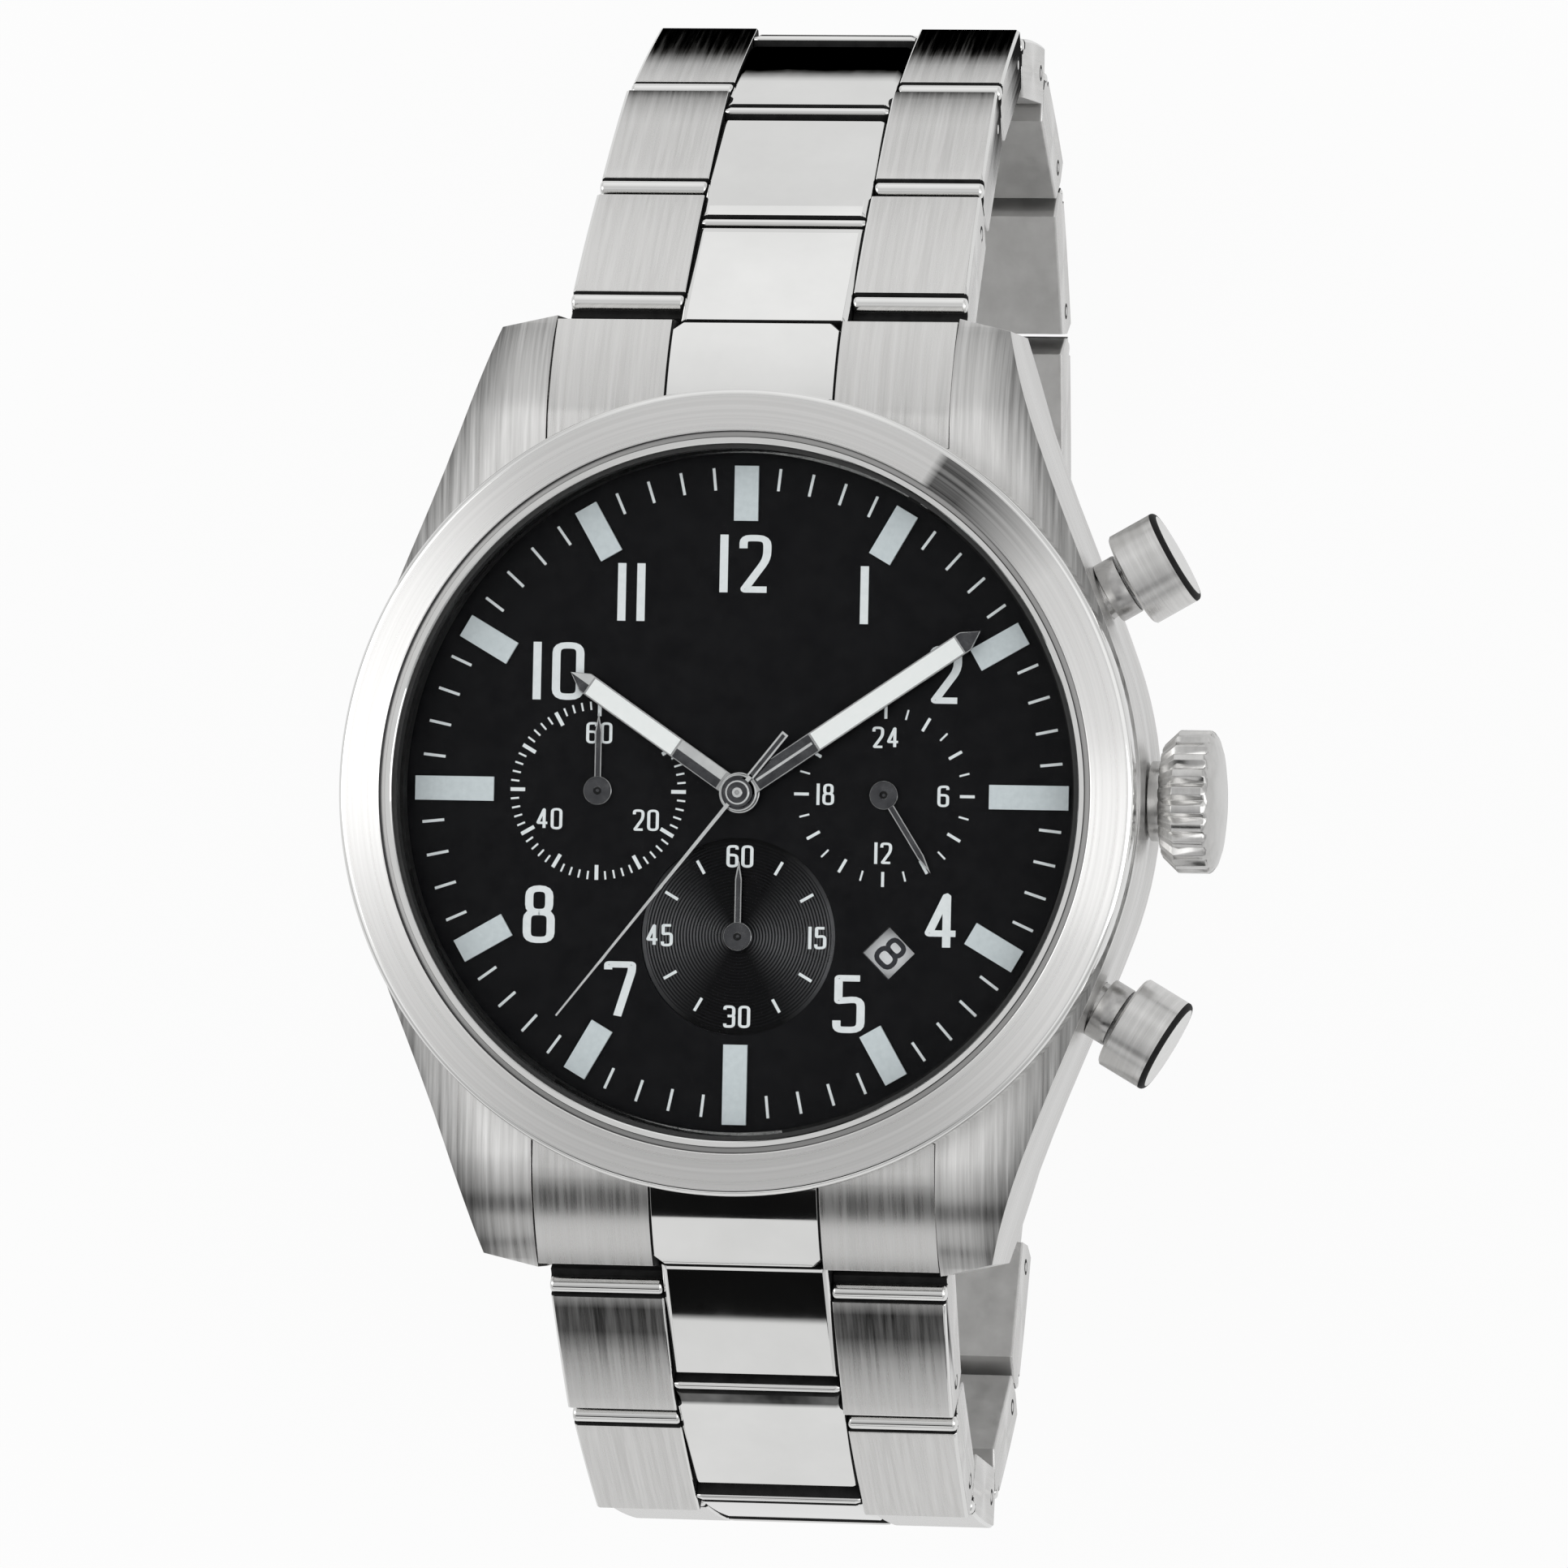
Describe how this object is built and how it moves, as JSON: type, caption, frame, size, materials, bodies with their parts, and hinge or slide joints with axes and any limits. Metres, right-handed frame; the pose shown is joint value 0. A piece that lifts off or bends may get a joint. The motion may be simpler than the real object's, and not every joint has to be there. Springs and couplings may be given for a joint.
{
  "type": "chronograph wristwatch",
  "caption": "Round steel chronograph wristwatch with a black dial, a crown, pushers and a link bracelet closed by a fold-over clasp; it shows the time and date and times events.",
  "frame": {"origin": "centre of the case back's outer face", "axes": "+Z out through the dial, +Y to 12 o'clock, +X to the crown at 3 o'clock"},
  "size_m": [0.0474, 0.0837, 0.0525],
  "materials": {
    "brushed_steel": "fine straight and circular brushing",
    "polished_steel": "mirror polish",
    "steel_small_parts": "turned",
    "spring_wire": "drawn wire",
    "crystal": "clear mineral glass",
    "black_dial": "black lacquer with a slight sheen",
    "marker_fill": "pale luminous fill",
    "hand_steel": "polished edges",
    "date_white": "white lacquer",
    "gasket_rubber": "moulded",
    "ring_plastic": "moulded",
    "movement_brass": "plated",
    "circuit_green": "circuit board",
    "coil_copper": "wound copper wire"
  },
  "bodies": {
    "head": {"case_middle": "brushed_steel", "bezel": "brushed_steel", "crystal": "crystal", "crystal_gasket": "gasket_rubber", "case_back": "brushed_steel", "case_back_gasket": "gasket_rubber", "dial": "black_dial", "hour_markers": "marker_fill", "movement_ring": "ring_plastic", "movement_plate": "movement_brass", "circuit_board": "circuit_green", "motor_coils": "coil_copper", "battery": "steel_small_parts", "battery_clamp": "steel_small_parts", "crown_tube": "steel_small_parts", "pusher_tube_2": "steel_small_parts", "pusher_tube_4": "steel_small_parts", "pusher_spring_2": "spring_wire", "pusher_spring_4": "spring_wire", "end_link_12": "brushed_steel", "end_link_6": "brushed_steel", "lug_spring_bars": "steel_small_parts", "end_link_pins": "steel_small_parts"},
    "date_disc": {"date_disc": "date_white"},
    "hour_hand": {"hour_hand": "hand_steel"},
    "minute_hand": {"minute_hand": "hand_steel"},
    "seconds_hand": {"seconds_hand": "hand_steel"},
    "hand_24h": {"hand_24h": "hand_steel"},
    "elapsed_minutes_hand": {"elapsed_minutes_hand": "hand_steel"},
    "elapsed_seconds_hand": {"elapsed_seconds_hand": "hand_steel"},
    "crown_slide": {"crown_gasket": "gasket_rubber"},
    "crown": {"crown": "polished_steel", "crown_stem": "steel_small_parts"},
    "pusher_2": {"pusher_2": "polished_steel", "pusher_clip_2": "steel_small_parts"},
    "pusher_4": {"pusher_4": "polished_steel", "pusher_clip_4": "steel_small_parts"},
    "row_12_1": {"row_12_1": "brushed_steel"},
    "row_12_2": {"row_12_2": "brushed_steel"},
    "row_12_3": {"row_12_3": "brushed_steel"},
    "row_12_4": {"row_12_4": "brushed_steel"},
    "row_12_5": {"row_12_5": "brushed_steel"},
    "row_12_6": {"row_12_6": "brushed_steel"},
    "row_12_7": {"row_12_7": "brushed_steel"},
    "row_6_1": {"row_6_1": "brushed_steel"},
    "row_6_2": {"row_6_2": "brushed_steel"},
    "row_6_3": {"row_6_3": "brushed_steel"},
    "row_6_4": {"row_6_4": "brushed_steel"},
    "row_6_5": {"row_6_5": "brushed_steel"},
    "clasp_cover": {"clasp_cover": "brushed_steel", "clasp_cover_pins": "steel_small_parts"},
    "clasp_fork": {"clasp_fork_blade": "polished_steel", "clasp_fold_pin": "steel_small_parts"},
    "clasp_inner": {"clasp_inner_blade": "polished_steel", "clasp_spring_bar": "steel_small_parts"},
    "clasp_button_left": {"clasp_button_left": "polished_steel"},
    "clasp_button_right": {"clasp_button_right": "polished_steel"}
  },
  "joints": [
    {"name": "seconds_hand_turn", "type": "hinge", "parent": "head", "child": "seconds_hand", "pos_m": [0, 0, 0.0095], "axis": [0, 0, -1], "continuous": true},
    {"name": "minute_hand_turn", "type": "hinge", "parent": "head", "child": "minute_hand", "pos_m": [0, 0, 0.0092], "axis": [0, 0, -1], "continuous": true},
    {"name": "hour_hand_turn", "type": "hinge", "parent": "head", "child": "hour_hand", "pos_m": [0, 0, 0.0089], "axis": [0, 0, -1], "continuous": true},
    {"name": "hand_24h_turn", "type": "hinge", "parent": "head", "child": "hand_24h", "pos_m": [0.0078, 0, 0.0087], "axis": [0, 0, -1], "continuous": true},
    {"name": "elapsed_seconds_turn", "type": "hinge", "parent": "head", "child": "elapsed_seconds_hand", "pos_m": [0, -0.0077, 0.0087], "axis": [0, 0, -1], "continuous": true},
    {"name": "elapsed_minutes_turn", "type": "hinge", "parent": "head", "child": "elapsed_minutes_hand", "pos_m": [-0.0078, 0, 0.0087], "axis": [0, 0, -1], "continuous": true},
    {"name": "date_disc_turn", "type": "hinge", "parent": "head", "child": "date_disc", "pos_m": [0, 0, 0.0077], "axis": [0, 0, 1], "continuous": true},
    {"name": "crown_pull", "type": "slide", "parent": "head", "child": "crown_slide", "axis": [1, 0, 0], "range_m": [0, 0.0015]},
    {"name": "crown_turn", "type": "hinge", "parent": "crown_slide", "child": "crown", "pos_m": [0.024, 0, 0.0049], "axis": [1, 0, 0], "continuous": true},
    {"name": "pusher_2_press", "type": "slide", "parent": "head", "child": "pusher_2", "axis": [-0.866, -0.5, 0], "range_m": [0, 0.001], "stiffness_N_per_m": 1500, "springref_m": -0.0006, "deforming": ["pusher_spring_2"]},
    {"name": "pusher_4_press", "type": "slide", "parent": "head", "child": "pusher_4", "axis": [-0.866, 0.5, 0], "range_m": [0, 0.001], "stiffness_N_per_m": 1500, "springref_m": -0.0006, "deforming": ["pusher_spring_4"]},
    {"name": "row_12_1_hinge", "type": "hinge", "parent": "head", "child": "row_12_1", "pos_m": [0, 0.02415, 0.0036], "axis": [1, 0, 0], "range_deg": [0, 41]},
    {"name": "row_12_2_hinge", "type": "hinge", "parent": "row_12_1", "child": "row_12_2", "pos_m": [0, 0.03084, -0.00242], "axis": [1, 0, 0], "range_deg": [0, 8]},
    {"name": "row_12_3_hinge", "type": "hinge", "parent": "row_12_2", "child": "row_12_3", "pos_m": [0, 0.03709, -0.0089], "axis": [1, 0, 0], "range_deg": [0, 20]},
    {"name": "row_12_4_hinge", "type": "hinge", "parent": "row_12_3", "child": "row_12_4", "pos_m": [0, 0.04132, -0.01684], "axis": [1, 0, 0], "range_deg": [0, 30]},
    {"name": "row_12_5_hinge", "type": "hinge", "parent": "row_12_4", "child": "row_12_5", "pos_m": [0, 0.04163, -0.02584], "axis": [1, 0, 0], "range_deg": [0, 38]},
    {"name": "row_12_6_hinge", "type": "hinge", "parent": "row_12_5", "child": "row_12_6", "pos_m": [0, 0.03686, -0.03347], "axis": [1, 0, 0], "range_deg": [0, 34]},
    {"name": "row_12_7_hinge", "type": "hinge", "parent": "row_12_6", "child": "row_12_7", "pos_m": [0, 0.02891, -0.03769], "axis": [1, 0, 0], "range_deg": [0, 22]},
    {"name": "row_6_1_hinge", "type": "hinge", "parent": "head", "child": "row_6_1", "pos_m": [0, -0.02415, 0.0036], "axis": [-1, 0, 0], "range_deg": [0, 34]},
    {"name": "row_6_2_hinge", "type": "hinge", "parent": "row_6_1", "child": "row_6_2", "pos_m": [0, -0.03152, -0.00156], "axis": [-1, 0, 0], "range_deg": [0, 20]},
    {"name": "row_6_3_hinge", "type": "hinge", "parent": "row_6_2", "child": "row_6_3", "pos_m": [0, -0.03719, -0.00856], "axis": [-1, 0, 0], "range_deg": [0, 35]},
    {"name": "row_6_4_hinge", "type": "hinge", "parent": "row_6_3", "child": "row_6_4", "pos_m": [0, -0.03844, -0.01747], "axis": [-1, 0, 0], "range_deg": [0, 44]},
    {"name": "row_6_5_hinge", "type": "hinge", "parent": "row_6_4", "child": "row_6_5", "pos_m": [0, -0.03367, -0.0251], "axis": [-1, 0, 0], "range_deg": [0, 32]},
    {"name": "clasp_cover_hinge", "type": "hinge", "parent": "row_6_5", "child": "clasp_cover", "pos_m": [0, -0.02588, -0.0296], "axis": [-1, 0, 0], "range_deg": [0, 5]},
    {"name": "clasp_fork_hinge", "type": "hinge", "parent": "clasp_cover", "child": "clasp_fork", "pos_m": [0, 0.01496, -0.03885], "axis": [-1, 0, 0], "range_deg": [0, 40]},
    {"name": "clasp_fold_hinge", "type": "hinge", "parent": "clasp_fork", "child": "clasp_inner", "pos_m": [0, -0.01938, -0.03208], "axis": [1, 0, 0], "range_deg": [0, 40]},
    {"name": "clasp_button_left_press", "type": "slide", "parent": "clasp_cover", "child": "clasp_button_left", "axis": [1, 0, 0], "range_m": [0, 0.0006], "stiffness_N_per_m": 800, "springref_m": -0.0006},
    {"name": "clasp_button_right_press", "type": "slide", "parent": "clasp_cover", "child": "clasp_button_right", "axis": [-1, 0, 0], "range_m": [0, 0.0006], "stiffness_N_per_m": 800, "springref_m": -0.0006}
  ],
  "couplings": [
    {"joint": "minute_hand_turn", "follows": "seconds_hand_turn", "ratio": 0.016667},
    {"joint": "hour_hand_turn", "follows": "seconds_hand_turn", "ratio": 0.0013889},
    {"joint": "hand_24h_turn", "follows": "seconds_hand_turn", "ratio": 0.00069444},
    {"joint": "elapsed_minutes_turn", "follows": "elapsed_seconds_turn", "ratio": 0.016667},
    {"joint": "clasp_fold_hinge", "follows": "clasp_fork_hinge", "ratio": 1}
  ]
}
